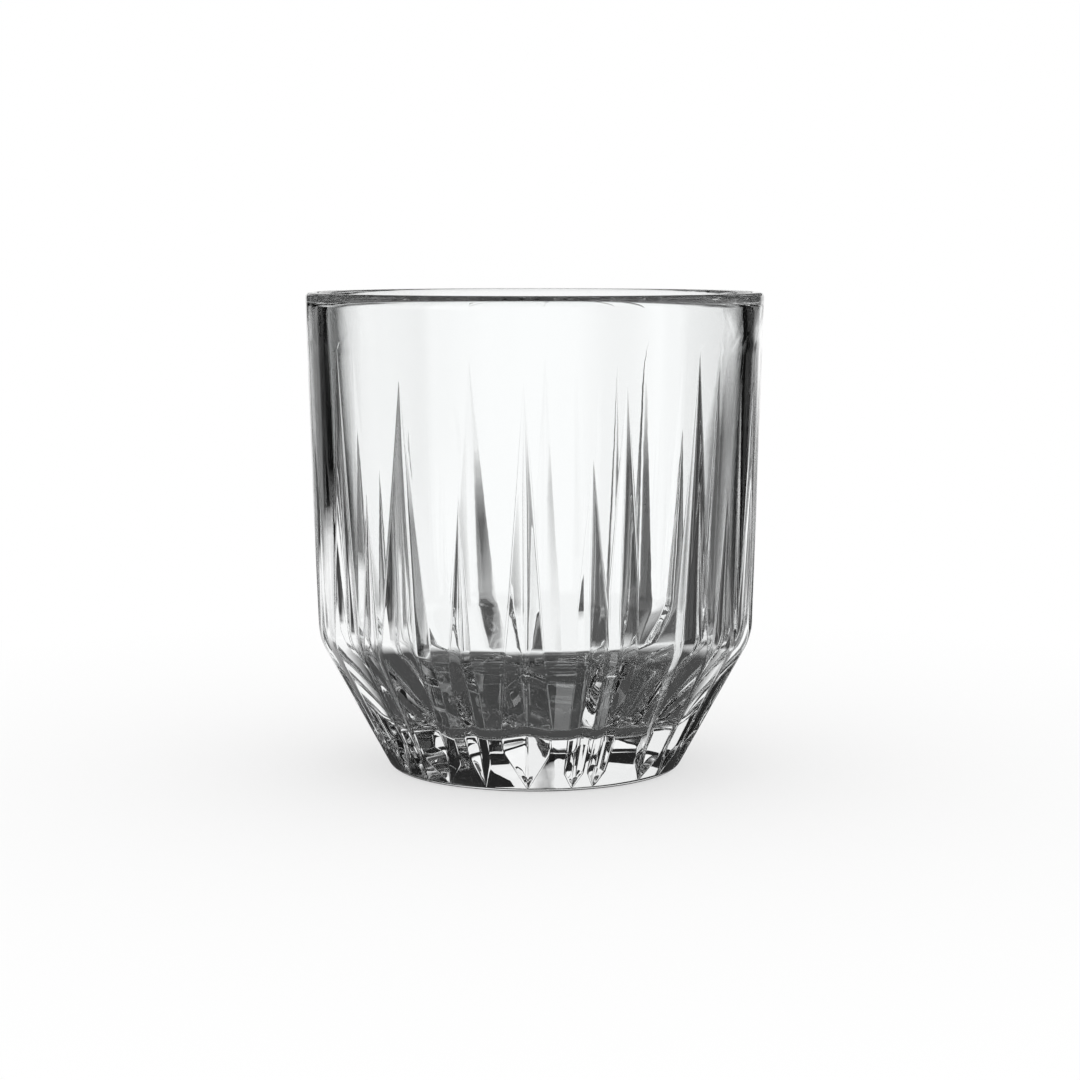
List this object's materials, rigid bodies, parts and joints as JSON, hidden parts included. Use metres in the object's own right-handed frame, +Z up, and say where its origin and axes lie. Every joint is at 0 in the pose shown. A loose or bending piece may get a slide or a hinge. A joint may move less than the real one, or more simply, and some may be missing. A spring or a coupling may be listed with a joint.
{
  "type": "whisky tumbler",
  "caption": "Clear pressed-glass whisky tumbler with a rounded shoulder, a chamfered thick base and pointed V flutes of unlike height around its lower wall.",
  "frame": {"origin": "centre of the circle that the foot stands on, on the table's surface", "axes": "+Z up along the glass's axis, -Y towards the side that the picture shows"},
  "size_m": [0.086, 0.086, 0.09],
  "materials": {
    "clear_glass": "fire-polished pressed glass, clear and neutral"
  },
  "bodies": {
    "root": {"glass_tumbler": "clear_glass"}
  },
  "joints": []
}
